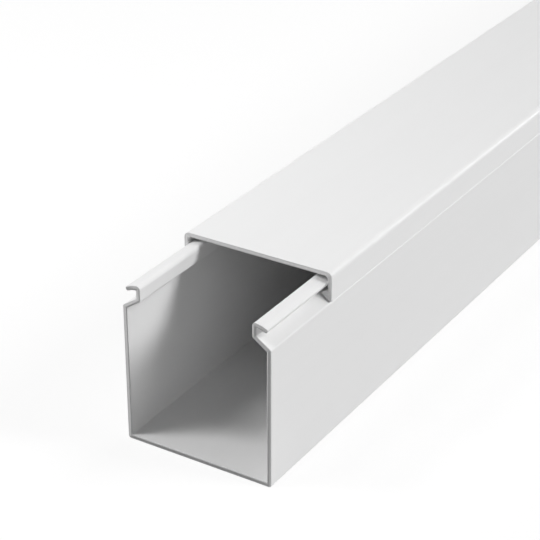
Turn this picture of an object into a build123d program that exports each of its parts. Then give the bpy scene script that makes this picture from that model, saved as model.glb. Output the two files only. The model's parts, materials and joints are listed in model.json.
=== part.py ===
from build123d import *
from math import cos, radians, sin, tan
import os

# A length of plastic cable trunking: an open channel that is fixed to a wall, and the
# cover that snaps over its two lips. Both are extrusions, so each is one cross-section,
# drawn here in X (width) and Z (height), and run along Y.
# The origin is the middle of the channel's flat back face. Sizes are in millimetres.

# The pieces as they are sold, and how far the cover is pushed back from the near end
piece_length = 2000.0
cover_setback = 37.5

# Channel. The snap depth runs from the slot's edge down to the bend where a wall turns into
# its shoulder. The insets run from a wall's outer face in to the slot and to the lip's tip.
# Each lip turns down once more near its tip, and droops more from there on.
base_width = 58.6
base_height = 61.8
base_wall = 1.6
snap_depth = 8.9
neck_inset = 7.2
shoulder_slope = 34.0
lip_inset = 1.2
lip_droop = 11.0
lip_tip_length = 2.0
lip_tip_droop = 23.0
bend_radius = 1.0
bend_radius_inside = 0.4
slot_edge_radius = 1.4
lip_turn_radius = 3.0
lip_tip_radius = 0.5

# Cover. A barb's reach runs in from the inner face of its leg, and its upper face slopes down
# from there to its nose.
cover_wall = 1.6
cover_corner_radius = 2.0
cover_corner_radius_inside = 1.2
barb_reach = 2.5
barb_nose_height = 0.5
barb_nose_radius = 0.25
foot_radius = 0.4

# Clearances: cover over the slot's edge, leg beside the lip's tip, barb's root under it, and
# foot above the shoulder
cover_lift = 1.0
side_clearance = 0.1
snap_clearance = 0.8
foot_clearance = 0.4


def beside(path, distance):
    """The points of the line that runs beside a path, at a distance to its left."""
    points = [Vector(*point) for point in path]
    sides = [(b - a).normalized().rotate(Axis.Z, 90) for a, b in zip(points, points[1:])]
    first = points[0] + sides[0] * distance
    last = points[-1] + sides[-1] * distance
    bends = [
        point + (before + after) * (distance / (1 + before.dot(after)))
        for point, before, after in zip(points[1:-1], sides, sides[1:])
    ]
    return [first, *bends, last]


def mirrored(half):
    """A whole path from its right half, the first point of which is nearest the middle."""
    return [(-x, z) for x, z in reversed(half)] + half


def rounded(face, corners, radius):
    """The face with the corners nearest to the given points rounded."""
    return fillet([face.vertices().sort_by_distance(corner)[0] for corner in corners], radius)


def bar(section):
    """The section run along the length of a piece, from the piece's near end at Y = 0."""
    return extrude(Plane.XZ * section, amount=-piece_length)


# Channel: up from the back face, in over the shoulder, up the neck and out along the lip
half_width = base_width / 2
slot_half = half_width - neck_inset
neck_outside = slot_half + base_wall
lip_tip = half_width - lip_inset
tip_below = lip_tip - base_wall * sin(radians(lip_tip_droop))
lip_turn = tip_below - lip_tip_length


def shoulder(x):
    """The height of the sloping shoulder's upper face."""
    return base_height - snap_depth + (half_width - x) * tan(radians(shoulder_slope))


def lip_bottom(x):
    """The height of the lip's lower face, which is steeper past its turn."""
    start = base_height - base_wall / cos(radians(lip_droop))
    before_turn = (min(x, lip_turn) - slot_half) * tan(radians(lip_droop))
    past_turn = max(x - lip_turn, 0) * tan(radians(lip_tip_droop))
    return start - before_turn - past_turn


outside = mirrored([
    (half_width, 0),
    (half_width, shoulder(half_width)),
    (neck_outside, shoulder(neck_outside)),
    (neck_outside, lip_bottom(neck_outside)),
    (lip_turn, lip_bottom(lip_turn)),
    (tip_below, lip_bottom(tip_below)),
])
inside = beside(outside, base_wall)


# Both paths run from the left lip's tip round to the right one's. In from either end they bend
# at the lip's turn, at the neck's head and foot, and at the wall's top and bottom.
def bends(path, *places):
    """The points of a path that lie these many places in from its two ends."""
    return [path[i] for place in places for i in (place, -1 - place)]


channel = make_face(Polyline(*outside, *reversed(inside), close=True))
channel = rounded(channel, bends(outside, 4, 5) + bends(inside, 3), bend_radius)
channel = rounded(channel, bends(inside, 4, 5) + bends(outside, 2, 3), bend_radius_inside)
channel = rounded(channel, bends(inside, 2), slot_edge_radius)
channel = rounded(channel, bends(outside, 1) + bends(inside, 1), lip_turn_radius)
channel = rounded(channel, bends(outside, 0) + bends(inside, 0), lip_tip_radius)

# Cover: a flat top and two legs, each with a barb under a lip and a foot over a shoulder
leg_inside = lip_tip + side_clearance
leg_outside = leg_inside + cover_wall
cover_inside_top = base_height + cover_lift
cover_height = cover_inside_top + cover_wall
barb_tip = leg_inside - barb_reach
barb_top = lip_bottom(lip_tip) - snap_clearance
foot_gap = foot_clearance / cos(radians(shoulder_slope))

crown = (leg_outside, cover_height)
foot = (leg_outside, shoulder(leg_outside) + foot_gap)
nose_below = (barb_tip, shoulder(barb_tip) + foot_gap)
nose_above = (barb_tip, shoulder(barb_tip) + foot_gap + barb_nose_height)
barb_root = (leg_inside, barb_top)
crown_inside = (leg_inside, cover_inside_top)
right_side = [crown, foot, nose_below, nose_above, barb_root, crown_inside]


def both_sides(*corners):
    """The corners and their mirror images on the left side."""
    return [*corners, *((-x, z) for x, z in reversed(corners))]


cover = make_face(Polyline(*both_sides(*right_side), close=True))
cover = rounded(cover, both_sides(crown), cover_corner_radius)
cover = rounded(cover, both_sides(crown_inside), cover_corner_radius_inside)
cover = rounded(cover, both_sides(nose_below, nose_above), barb_nose_radius)
cover = rounded(cover, both_sides(foot), foot_radius)

near_end = -piece_length / 2
pieces = {
    "base_channel": Pos(0, near_end, 0) * bar(channel),
    "snap_cover": Pos(0, near_end + cover_setback, 0) * bar(cover),
}
os.makedirs("parts", exist_ok=True)
for name, piece in pieces.items():
    export_step(piece, f"parts/{name}.step")
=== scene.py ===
import json
from math import cos, radians, sin, tan

import bpy
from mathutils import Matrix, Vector


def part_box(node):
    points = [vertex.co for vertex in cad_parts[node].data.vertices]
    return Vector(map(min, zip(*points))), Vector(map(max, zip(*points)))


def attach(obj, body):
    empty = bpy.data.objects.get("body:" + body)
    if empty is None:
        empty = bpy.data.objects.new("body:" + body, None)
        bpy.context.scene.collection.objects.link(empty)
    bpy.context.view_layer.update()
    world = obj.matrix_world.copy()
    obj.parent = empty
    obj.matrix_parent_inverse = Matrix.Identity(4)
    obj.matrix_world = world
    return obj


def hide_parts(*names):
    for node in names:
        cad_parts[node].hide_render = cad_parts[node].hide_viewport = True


# A length of white plastic cable trunking: an open channel with two snap lips, and the cover
# that clips over them, pushed back so that the channel's sawn end shows.
# X runs across, Y along, and Z up out of the back face. Sections are given in millimetres.

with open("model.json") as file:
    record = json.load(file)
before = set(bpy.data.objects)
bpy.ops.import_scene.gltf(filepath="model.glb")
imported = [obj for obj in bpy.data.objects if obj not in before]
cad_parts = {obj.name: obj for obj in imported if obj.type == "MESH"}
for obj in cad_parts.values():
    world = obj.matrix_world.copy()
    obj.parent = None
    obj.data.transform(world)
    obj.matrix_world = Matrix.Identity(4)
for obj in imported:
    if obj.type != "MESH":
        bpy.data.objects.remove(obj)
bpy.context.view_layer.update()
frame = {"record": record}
mm = 0.001


class Value:
    # a socket that takes part in sums, where each operator adds its Math node
    def __init__(self, graph, socket):
        self.graph, self.socket = graph, socket

    def math(self, operation, *values):
        return self.graph.add("ShaderNodeMath", {"operation": operation}, values)

    def __add__(self, other):
        return self.math("ADD", self, other)

    def __sub__(self, other):
        return self.math("SUBTRACT", self, other)

    def __rsub__(self, other):
        return self.math("SUBTRACT", other, self)

    def __mul__(self, other):
        return self.math("MULTIPLY", self, other)

    def __truediv__(self, other):
        return self.math("DIVIDE", self, other)

    def __gt__(self, other):
        return self.math("GREATER_THAN", self, other)

    def __lt__(self, other):
        return self.math("LESS_THAN", self, other)

    def __abs__(self):
        return self.math("ABSOLUTE", self)

    __radd__, __rmul__ = __add__, __mul__

    def step(self, low, high):    # 0 below low and 1 above high, smooth in between
        return self.graph.add("ShaderNodeMapRange", {"interpolation_type": "SMOOTHSTEP"},
                              {"Value": self, "From Min": low, "From Max": high})


class Graph:
    # a node tree, of a material, the world or a modifier
    def __init__(self, tree):
        self.tree = tree

    # a node's settings come first, then the values or links of its sockets
    def add(self, kind, settings=None, sockets=(), out=0):
        node = self.tree.nodes.new(kind)
        for name, setting in (settings or {}).items():
            setattr(node, name, setting)
        pairs = sockets.items() if isinstance(sockets, dict) else enumerate(sockets)
        for key, value in pairs:
            if isinstance(value, Value):
                self.tree.links.new(value.socket, node.inputs[key])
            else:
                node.inputs[key].default_value = value
        return Value(self, node.outputs[out]) if len(node.outputs) else None


# The two sections, as the source draws them, with slopes and droops in degrees
channelSection = {
    "width": 58.6, "height": 61.8, "wall": 1.6,
    "snapDepth": 8.9,         # from the slot's edge down to the bend into the shoulder
    "neckInset": 7.2, "shoulderSlope": 34, "lipInset": 1.2, "lipDroop": 11,
    "tipLength": 2.0, "tipDroop": 23,    # past its turn the lip droops more
    "bend": 1.0, "bendInside": 0.4, "slotEdge": 1.4, "turn": 3.0, "tip": 0.5,
}
coverSection = {
    "wall": 1.6, "crown": 2.0, "crownInside": 1.2,
    "barbReach": 2.5, "noseHeight": 0.5, "nose": 0.25, "foot": 0.4,
    "lift": 1.0, "besideLip": 0.1, "underLip": 0.8, "overShoulder": 0.4,
}
# the support points keep the flats beside a bend flat, and edges over 30 degrees stay sharp
rounding = {"steps": 8, "support": 0.25, "sharp": 30}


def shoulderHeight(x):
    s = channelSection
    return s["height"] - s["snapDepth"] + (s["width"] / 2 - x) * tan(radians(s["shoulderSlope"]))


def lipTurn():    # where the lip's lower face turns down more and where it ends, from the middle
    s = channelSection
    tipBelow = s["width"] / 2 - s["lipInset"] - s["wall"] * sin(radians(s["tipDroop"]))
    return tipBelow - s["tipLength"], tipBelow


def lipBottom(x):
    s = channelSection
    turn, _ = lipTurn()
    start = s["height"] - s["wall"] / cos(radians(s["lipDroop"]))
    beforeTurn = (min(x, turn) - s["width"] / 2 + s["neckInset"]) * tan(radians(s["lipDroop"]))
    pastTurn = max(x - turn, 0) * tan(radians(s["tipDroop"]))
    return start - beforeTurn - pastTurn


def besidePath(path, distance):    # the path that runs beside this one, to its left
    points = [Vector(p) for p in path]
    sides = [(b - a).normalized().orthogonal() for a, b in zip(points, points[1:])]
    bends = [p + (a + b) * (distance / (1 + a.dot(b)))
             for p, a, b in zip(points[1:-1], sides, sides[1:])]
    return [points[0] + sides[0] * distance, *bends, points[-1] + sides[-1] * distance]


# Corners are (x, z, radius, skin), anticlockwise: round the outside, where the skin is 1,
# then back round the inside, where it is 0
def channelCorners():
    s = channelSection
    half = s["width"] / 2
    neck = half - s["neckInset"] + s["wall"]
    turn, tipBelow = lipTurn()
    right = [(half, 0), (half, shoulderHeight(half)), (neck, shoulderHeight(neck)),
             (neck, lipBottom(neck)), (turn, lipBottom(turn)), (tipBelow, lipBottom(tipBelow))]
    outside = [(-x, z) for x, z in reversed(right)] + right
    inside = besidePath(outside, s["wall"])
    # radii from the bottom of a wall up to the lip's tip
    outsideRadii = [s[n] for n in ("bend", "bend", "bendInside", "bendInside", "turn", "tip")]
    insideRadii = [s[n] for n in ("bendInside", "bendInside", "bend", "slotEdge", "turn", "tip")]
    there = [(*p, r, 1) for p, r in zip(outside, outsideRadii[::-1] + outsideRadii)]
    back = [(*p, r, 0) for p, r in zip(inside, insideRadii[::-1] + insideRadii)]
    return there + back[::-1]


def coverCorners():
    s, c = channelSection, coverSection
    lip = s["width"] / 2 - s["lipInset"]
    legInside = lip + c["besideLip"]
    legOutside = legInside + c["wall"]
    under = s["height"] + c["lift"]
    barb = legInside - c["barbReach"]
    barbTop = lipBottom(lip) - c["underLip"]
    gap = c["overShoulder"] / cos(radians(s["shoulderSlope"]))
    noseBelow = shoulderHeight(barb) + gap
    left = [(-legOutside, under + c["wall"], c["crown"], 1),
            (-legOutside, shoulderHeight(legOutside) + gap, c["foot"], 1),
            (-barb, noseBelow, c["nose"], 1),
            (-barb, noseBelow + c["noseHeight"], c["nose"], 0),
            (-legInside, barbTop, 0, 0),
            (-legInside, under, c["crownInside"], 0)]
    return left + [(-x, *rest) for x, *rest in reversed(left)]


# Points round a section, each with the direction out of it there, 1 on a convex bend, and
# its corner's skin
def roundedOutline(corners):
    places = [Vector(corner[:2]) for corner in corners]
    arcs = []
    for i, corner in enumerate(places):
        radius, skin = corners[i][2:]
        before = (corner - places[i - 1]).normalized()
        after = (places[(i + 1) % len(places)] - corner).normalized()
        turn = -before.angle_signed(after)
        outward = Vector((before.y, -before.x))
        if radius == 0:
            arcs.append([(corner, outward, 0.0, skin)])
            continue
        convex = 1 if turn > 0 else -1
        centre = corner - before * radius * tan(abs(turn) / 2) - outward * radius * convex
        arc = []
        for step in range(rounding["steps"] + 1):
            angle = turn * step / rounding["steps"]
            facing = Vector((outward.x * cos(angle) - outward.y * sin(angle),
                             outward.x * sin(angle) + outward.y * cos(angle)))
            arc.append((centre + facing * radius * convex, facing, max(convex, 0.0), skin))
        arcs.append(arc)
    outline = []
    for arc, following in zip(arcs, arcs[1:] + arcs[:1]):
        outline += arc
        start, end = arc[-1][0], following[0][0]
        along = (end - start).normalized() * rounding["support"]
        facing = Vector((along.y, -along.x)).normalized()
        if (end - start).length > 3 * rounding["support"]:
            outline += [(start + along, facing, 0.0, arc[-1][3]),
                        (end - along, facing, 0.0, following[0][3])]
    return outline


# The section as a closed line of points, with what the sweep reads at each.
# The sweep turns the line's Y to -Z.
def sectionLine(name, outline):
    mesh = bpy.data.meshes.new(name)
    outline = outline[::-1]
    count = len(outline)
    places, facings, bends, skins = zip(*outline)
    mesh.from_pydata([(p.x * mm, -p.y * mm, 0) for p in places],
                     [(i, (i + 1) % count) for i in range(count)], [])
    outward = mesh.attributes.new("outward", "FLOAT_VECTOR", "POINT")
    outward.data.foreach_set("vector", [v for f in facings for v in (f.x, 0, f.y)])
    mesh.attributes.new("bend", "FLOAT", "POINT").data.foreach_set("value", bends)
    mesh.attributes.new("skin", "FLOAT", "POINT").data.foreach_set("value", skins)
    line = bpy.data.objects.new(name, mesh)
    bpy.context.scene.collection.objects.link(line)
    return line


# How the rings lie along a piece and how its sawn ends are broken, as the sweep's inputs
sawnEnd = {"Rings": 41, "Rim": 0.12 * mm, "Support": 0.5 * mm, "Burr": 0.05 * mm}
raggedEdge = {
    "bumpsPerMetre": 700.0,
    "least": 0.2, "more": 1.6,    # an edge draws in by the least, and by up to this more, in rims
    "cutFacing": 0.3,             # a face that looks along Y by more than this is a cut face
}


# Runs a section along Y, breaks the edges of both sawn ends unevenly, and marks the cut faces
def sweepTree():
    tree = bpy.data.node_groups.new("sweepSection", "GeometryNodeTree")
    for name, kind in [("Section", "Geometry"), ("Start", "Float"), ("Length", "Float"),
                       ("Rings", "Int"), ("Rim", "Float"), ("Support", "Float"),
                       ("Burr", "Float"), ("Seed", "Float"), ("Material", "Material")]:
        tree.interface.new_socket(name, in_out="INPUT", socket_type="NodeSocket" + kind)
    tree.interface.new_socket("Piece", in_out="OUTPUT", socket_type="NodeSocketGeometry")
    g = Graph(tree)
    given = {socket.name: Value(g, socket) for socket in tree.nodes.new("NodeGroupInput").outputs}
    start, length, rings, rim = (given[n] for n in ("Start", "Length", "Rings", "Rim"))

    # a straight line of evenly spaced points, of which the two next to each end move near it
    line = g.add("GeometryNodeCurvePrimitiveLine", None, {
        "Start": g.add("ShaderNodeCombineXYZ", None, {"Y": start}),
        "End": g.add("ShaderNodeCombineXYZ", None, {"Y": start + length})})
    line = g.add("GeometryNodeResampleCurve", None, {"Curve": line, "Count": rings})
    line = g.add("GeometryNodeSetCurveNormal", {"mode": "Z_UP"}, {"Curve": line})
    index = g.add("GeometryNodeInputIndex")
    fromEnd = index.math("MINIMUM", index, rings - 1 - index)
    near = abs(fromEnd - 1) < 0.5
    nearer = abs(fromEnd - 2) < 0.5
    evenly = (near + nearer) * fromEnd * length / (rings - 1)
    shift = near * rim + nearer * given["Support"] - evenly
    towardEnd = (index < rings / 2) * 2 - 1
    line = g.add("GeometryNodeSetPosition", None, {
        "Geometry": line, "Offset": g.add("ShaderNodeCombineXYZ", None, {"Y": shift * towardEnd})})
    piece = g.add("GeometryNodeCurveToMesh", None, {
        "Curve": line, "Profile Curve": g.add("GeometryNodeMeshToCurve", None, [given["Section"]]),
        "Fill Caps": True})

    # the end rings draw in along the wall's outward direction and back from the cut
    place = g.add("GeometryNodeInputPosition")
    fromStart = g.add("ShaderNodeSeparateXYZ", None, [place], out="Y") - start
    atEnd = fromStart.math("MINIMUM", fromStart, length - fromStart) < rim * 0.5
    ragged = g.add("ShaderNodeTexNoise", {"noise_dimensions": "4D"}, {
        "Vector": place, "W": given["Seed"], "Scale": raggedEdge["bumpsPerMetre"], "Detail": 2.0})
    outward = g.add("GeometryNodeInputNamedAttribute", {"data_type": "FLOAT_VECTOR"},
                    {"Name": "outward"})
    inward = g.add("ShaderNodeVectorMath", {"operation": "SCALE"}, {
        "Vector": outward, "Scale": rim * (-raggedEdge["least"] - ragged * raggedEdge["more"])})
    back = g.add("ShaderNodeCombineXYZ", None, {
        "Y": ((fromStart < length * 0.5) * 2 - 1) * given["Burr"] * ragged})
    piece = g.add("GeometryNodeSetPosition", None, {
        "Geometry": piece, "Selection": atEnd,
        "Offset": g.add("ShaderNodeVectorMath", {"operation": "ADD"}, (inward, back))})

    facing = g.add("ShaderNodeSeparateXYZ", None, [g.add("GeometryNodeInputNormal")], out="Y")
    piece = g.add("GeometryNodeStoreNamedAttribute", {"data_type": "FLOAT", "domain": "FACE"}, {
        "Geometry": piece, "Name": "cut", "Value": abs(facing) > raggedEdge["cutFacing"]})
    piece = g.add("GeometryNodeSetShadeSmooth", {"domain": "EDGE"}, {
        "Geometry": piece,
        "Shade Smooth": g.add("GeometryNodeInputMeshEdgeAngle") < radians(rounding["sharp"])})
    piece = g.add("GeometryNodeRealizeInstances", None, [piece])
    piece = g.add("GeometryNodeSetMaterial", None, {
        "Geometry": piece, "Material": given["Material"]})
    tree.links.new(piece.socket, tree.nodes.new("NodeGroupOutput").inputs["Piece"])
    return tree


# The piece as a plain mesh, as long as its CAD node and in the same place
def sweptPiece(name, settings, tree, material):
    line = sectionLine(name + "Section", roundedOutline(settings["corners"]()))
    low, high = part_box(settings["node"])
    values = {**sawnEnd, "Start": low.y, "Length": high.y - low.y,
              "Seed": settings["seed"], "Material": material}
    modifier = line.modifiers.new("sweep", "NODES")
    modifier.node_group = tree
    for socket in tree.interface.items_tree:
        if socket.name in values:
            modifier[socket.identifier] = values[socket.name]
    evaluated = line.evaluated_get(bpy.context.evaluated_depsgraph_get())
    mesh = bpy.data.meshes.new_from_object(evaluated)
    line.modifiers.remove(modifier)
    bpy.data.objects.remove(line)
    mesh.name = name
    piece = bpy.data.objects.new(name, mesh)
    bpy.context.scene.collection.objects.link(piece)
    return piece


# What making, handling and sawing leave on both pieces, with depths in millimetres
wear = {
    "patchyGloss": 0.12, "linedGloss": 0.10,    # how far the roughness varies
    "hairRoughness": 0.2, "hairDepth": 0.006, "rubRoughness": 0.06,
    "sawTone": 0.5, "crumbTone": 0.4, "sawRoughness": 0.25, "sawDepth": 0.05, "crumbDepth": 0.03,
    "ridge": 0.1, "ridgeWander": 0.3,    # from 0 at the wall's inner face to 1 at its outer one
    # the darkest and lightest tones are this far from the record's colour, and stay below white
    "toneRange": 0.1, "whitest": 0.97,
}


# White rigid PVC, with the sizes of its patterns in millimetres
def pvcMaterial(name, color, look):
    material = bpy.data.materials.new(name)
    material.use_nodes = True
    material.node_tree.nodes.clear()
    g = Graph(material.node_tree)
    place = g.add("ShaderNodeTexCoord", out="Object")
    cut = g.add("ShaderNodeAttribute", {"attribute_name": "cut"}, out="Fac")
    bend = g.add("ShaderNodeAttribute", {"attribute_name": "bend"}, out="Fac")
    skin = g.add("ShaderNodeAttribute", {"attribute_name": "skin"}, out="Fac")

    # a pattern of this size, drawn out along X, Y and Z, turned by degrees and shifted
    def noise(size, stretch=(1, 1, 1), detail=2.0, turn=(0, 0, 0), shift=0.0):
        spot = g.add("ShaderNodeMapping", {"vector_type": "TEXTURE"}, {
            "Vector": place, "Location": (shift, shift, shift),
            "Rotation": [radians(a) for a in turn], "Scale": stretch})
        return g.add("ShaderNodeTexNoise", None, {
            "Vector": spot, "Scale": 1 / (size * mm), "Detail": detail})

    # the die leaves fine lines along the length, and the haul-off faint ripples across it
    dieLines = noise(0.9, (1, 600, 1), 3)
    broadLines = noise(7, (1, 150, 1), 1, shift=3)
    ripple = noise(14, (40, 1, 40), 1, shift=5)
    mottle = noise(30, (1, 3, 1), 3, shift=7)
    grain = noise(0.5, (1, 1.6, 1), 2, shift=9)
    # hairline scratches from handling, nearly along the length
    scratched = noise(60, (1, 1, 1), 2, shift=13).step(0.5, 0.62)
    hairs = noise(0.5, (1, 90, 1), 1, (0, 0, 3), 11).step(0.70, 0.76)
    hairs = hairs + noise(0.6, (1, 60, 1), 1, (2, 0, -11), 17).step(0.72, 0.78)
    hairs = hairs * scratched * (1 - cut)
    # the outer bends rub first, which makes them rougher, and they are painted lighter: partly rub
    # wear and partly a painted highlight along the bends
    rubAndHighlight = bend * (1 - cut) * noise(2.5, (1, 9, 1), 3, shift=19).step(0.48, 0.7)
    # the saw leaves slanting marks across the cut faces
    sawMarks = noise(0.28, (14, 1, 1), 2, (0, look["sawAngle"], 0), 23)
    crumbs = noise(0.22, (1, 1, 1), 3, shift=29)
    # and a knife cleaned them, so that they fall away to both edges from a ridge
    ridgeShift = noise(9, (1, 1, 1), 1, shift=31) * wear["ridgeWander"]
    fallAway = abs(skin - wear["ridge"] - ridgeShift)

    # the lift in tone on the outer bends is partly a painted highlight
    tone = (0.5 + (mottle - 0.5) * look["mottle"] + (broadLines - 0.5) * look["bands"]
            + (dieLines - 0.5) * look["lines"] + hairs * look["hairs"] + rubAndHighlight * look["rubAndHighlight"])
    # the cut faces are painted a little darker than the skin: partly the sawn face's duller tone
    # and partly painted shade on faces that look away from the lamps
    cutTone = (look["cutTone"] + (sawMarks - 0.5) * wear["sawTone"]
               + (crumbs - 0.5) * wear["crumbTone"])
    tone = tone * (1 - cut) + cutTone * cut
    darker = [c * (1 - wear["toneRange"]) for c in color] + [1]
    lighter = [min(c * (1 + wear["toneRange"]), wear["whitest"]) for c in color] + [1]
    # sockets 0, 6 and 7 are the mix's factor and its two colours
    paint = g.add("ShaderNodeMix", {"data_type": "RGBA"}, {0: tone, 6: darker, 7: lighter}, out=2)
    roughness = (look["roughness"] + (mottle - 0.5) * wear["patchyGloss"]
                 + (dieLines - 0.5) * wear["linedGloss"] + hairs * wear["hairRoughness"]
                 + rubAndHighlight * wear["rubRoughness"] - bend * look["bendGloss"]
                 + cut * wear["sawRoughness"])
    drawn = (dieLines * look["lineHeight"] + ripple * look["rippleHeight"]
             + grain * look["grainHeight"] - hairs * wear["hairDepth"])
    sawn = (sawMarks * wear["sawDepth"] + crumbs * wear["crumbDepth"]
            - fallAway * look["fallAway"])
    height = drawn * (1 - cut) + sawn * cut
    normal = g.add("ShaderNodeBump", None, {"Distance": mm, "Height": height, "Strength": 1.0})
    shader = g.add("ShaderNodeBsdfPrincipled", None, {
        "Base Color": paint, "Roughness": roughness, "Normal": normal, "IOR": look["ior"]})
    g.add("ShaderNodeOutputMaterial", None, {"Surface": shader})
    return material


# in each look, the lift in tone of the outer bends is partly a painted highlight
pieceSettings = {
    "trunkingChannel": {
        "node": "base_channel", "body": "channel", "slot": "channel_pvc",
        "corners": channelCorners, "seed": 3.0,
        "look": {"roughness": 0.46, "ior": 1.5, "mottle": 0.16, "bands": 0.08, "lines": 0.10,
                 "hairs": 0.10, "rubAndHighlight": 0.12, "bendGloss": 0.02, "lineHeight": 0.010,
                 "rippleHeight": 0.03, "grainHeight": 0.006, "sawAngle": 18, "cutTone": 0.25,
                 "fallAway": 0.42},
    },
    "trunkingCover": {
        "node": "snap_cover", "body": "cover", "slot": "cover_pvc",
        "corners": coverCorners, "seed": 11.0,
        "look": {"roughness": 0.40, "ior": 1.5, "mottle": 0.12, "bands": 0.08, "lines": 0.08,
                 "hairs": 0.14, "rubAndHighlight": 0.20, "bendGloss": 0.06, "lineHeight": 0.008,
                 "rippleHeight": 0.03, "grainHeight": 0.005, "sawAngle": -12, "cutTone": 0.35,
                 "fallAway": 0.25},
    },
}
sweep = sweepTree()
colors = {m["slot"]: m["base_color"] for m in frame["record"]["materials"]}
for name, settings in pieceSettings.items():
    slot = settings["slot"]
    plastic = pvcMaterial(slot, colors[slot], settings["look"])
    piece = sweptPiece(name, settings, sweep, plastic)
    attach(piece, settings["body"])
    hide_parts(settings["node"])
    print(name, "has", len(piece.data.polygons), "faces")

# Studio: a pale floor, a white surround, far lamps for the whole length and one near the front
studio = {
    "ambient": 0.01,
    # the floor passes on less light than it shows, so that the inside stays dark
    "floorSeen": 0.8, "floorPassesOn": 0.38,
    # its glow and what the lamps leave on its paint add up to white
    "glowShare": 0.75, "glow": 1.11,
    "suns": {    # height and bearing that it comes from, strength, softness, angles in degrees
        "key": (37, 31, 1.12, 18),
        "low": (28, 16, 0.66, 12),
        "side": (28, 16, 0.38, 12),
        "rim": (14, 59, 0.48, 16),
        "fill": (62, 226, 0.48, 12),
        "left": (8, 186, 1.35, 20),
        "near": (40, 330, 0.21, 40),
    },
    "unmirrored": ("key", "low", "left"),    # their glare would bleach the cover in low views
    "softbox": {"place": (-0.303, -1.172, 0.513), "aim": (0, -0.96, 0.04), "power": 1.28,
                "size": 0.12},
}
showsBackground = ("Is Camera Ray", "Is Glossy Ray", "Is Transmission Ray")


# 1 for the rays that show the background itself and not its light
def seenDirectly(graph):
    path = graph.tree.nodes.new("ShaderNodeLightPath")
    camera, glossy, through = (Value(graph, path.outputs[name]) for name in showsBackground)
    return camera.math("MAXIMUM", camera.math("MAXIMUM", camera, glossy), through)


floorMesh = bpy.data.meshes.new("floor")
reach = 40           # metres from the middle to an edge
level = -0.1 * mm    # just under the channel's back
floorMesh.from_pydata([(-reach, -reach, level), (reach, -reach, level),
                       (reach, reach, level), (-reach, reach, level)], [], [(0, 1, 2, 3)])
floor = bpy.data.objects.new("floor", floorMesh)
bpy.context.scene.collection.objects.link(floor)
floorMaterial = bpy.data.materials.new("floorPaint")
floorMaterial.use_nodes = True
floorMaterial.node_tree.nodes.clear()
g = Graph(floorMaterial.node_tree)
seen = seenDirectly(g)
tone = seen * (studio["floorSeen"] - studio["floorPassesOn"]) + studio["floorPassesOn"]
paint = g.add("ShaderNodeBsdfDiffuse", None, {"Color": tone})
white = g.add("ShaderNodeEmission", None, {"Color": (1, 1, 1, 1), "Strength": studio["glow"]})
g.add("ShaderNodeOutputMaterial", None, {"Surface": g.add(
    "ShaderNodeMixShader", None, (seen * studio["glowShare"], paint, white))})
floorMesh.materials.append(floorMaterial)

world = bpy.data.worlds.new("surround")
bpy.context.scene.world = world
world.use_nodes = True
world.node_tree.nodes.clear()
g = Graph(world.node_tree)
direct = seenDirectly(g)
strength = direct + (1 - direct) * studio["ambient"]
surround = g.add("ShaderNodeBackground", None, {"Color": (1, 1, 1, 1), "Strength": strength})
g.add("ShaderNodeOutputWorld", None, {"Surface": surround})


# A lamp at this place, whose light goes against the direction it comes from
def addLamp(light, place, source):
    lamp = bpy.data.objects.new(light.name, light)
    lamp.location = place
    lamp.rotation_euler = source.to_track_quat("Z", "Y").to_euler()
    lamp.visible_glossy = light.name not in studio["unmirrored"]
    bpy.context.scene.collection.objects.link(lamp)


for name, (height, bearing, strength, softness) in studio["suns"].items():
    height, bearing = radians(height), radians(bearing)
    source = Vector((cos(height) * cos(bearing), cos(height) * sin(bearing), sin(height)))
    sun = bpy.data.lights.new(name, "SUN")
    sun.energy, sun.angle = strength, radians(softness)
    addLamp(sun, source * 3, source)    # its light is the same from any place on that line
softbox = studio["softbox"]
front = bpy.data.lights.new("front", "AREA")
front.shape, front.size, front.energy = "DISK", softbox["size"], softbox["power"]
addLamp(front, softbox["place"], Vector(softbox["place"]) - Vector(softbox["aim"]))

# The photo's camera, worked out from the long straight edges
view = {"place": (0.28694, -1.41405, 0.33835), "toward": (-0.4683, 0.75139, -0.46487),
        "lens": 117.53, "sensor": 36}
cameraData = bpy.data.cameras.new("camera")
cameraData.lens, cameraData.sensor_width = view["lens"], view["sensor"]
cameraData.clip_start, cameraData.clip_end = 0.01, 100
camera = bpy.data.objects.new("camera", cameraData)
camera.location = view["place"]
camera.rotation_mode = "QUATERNION"
camera.rotation_quaternion = Vector(view["toward"]).to_track_quat("-Z", "Y")
bpy.context.scene.collection.objects.link(camera)
bpy.context.scene.camera = camera
bpy.context.scene.view_settings.view_transform = "Standard"
print("studio and camera are set")
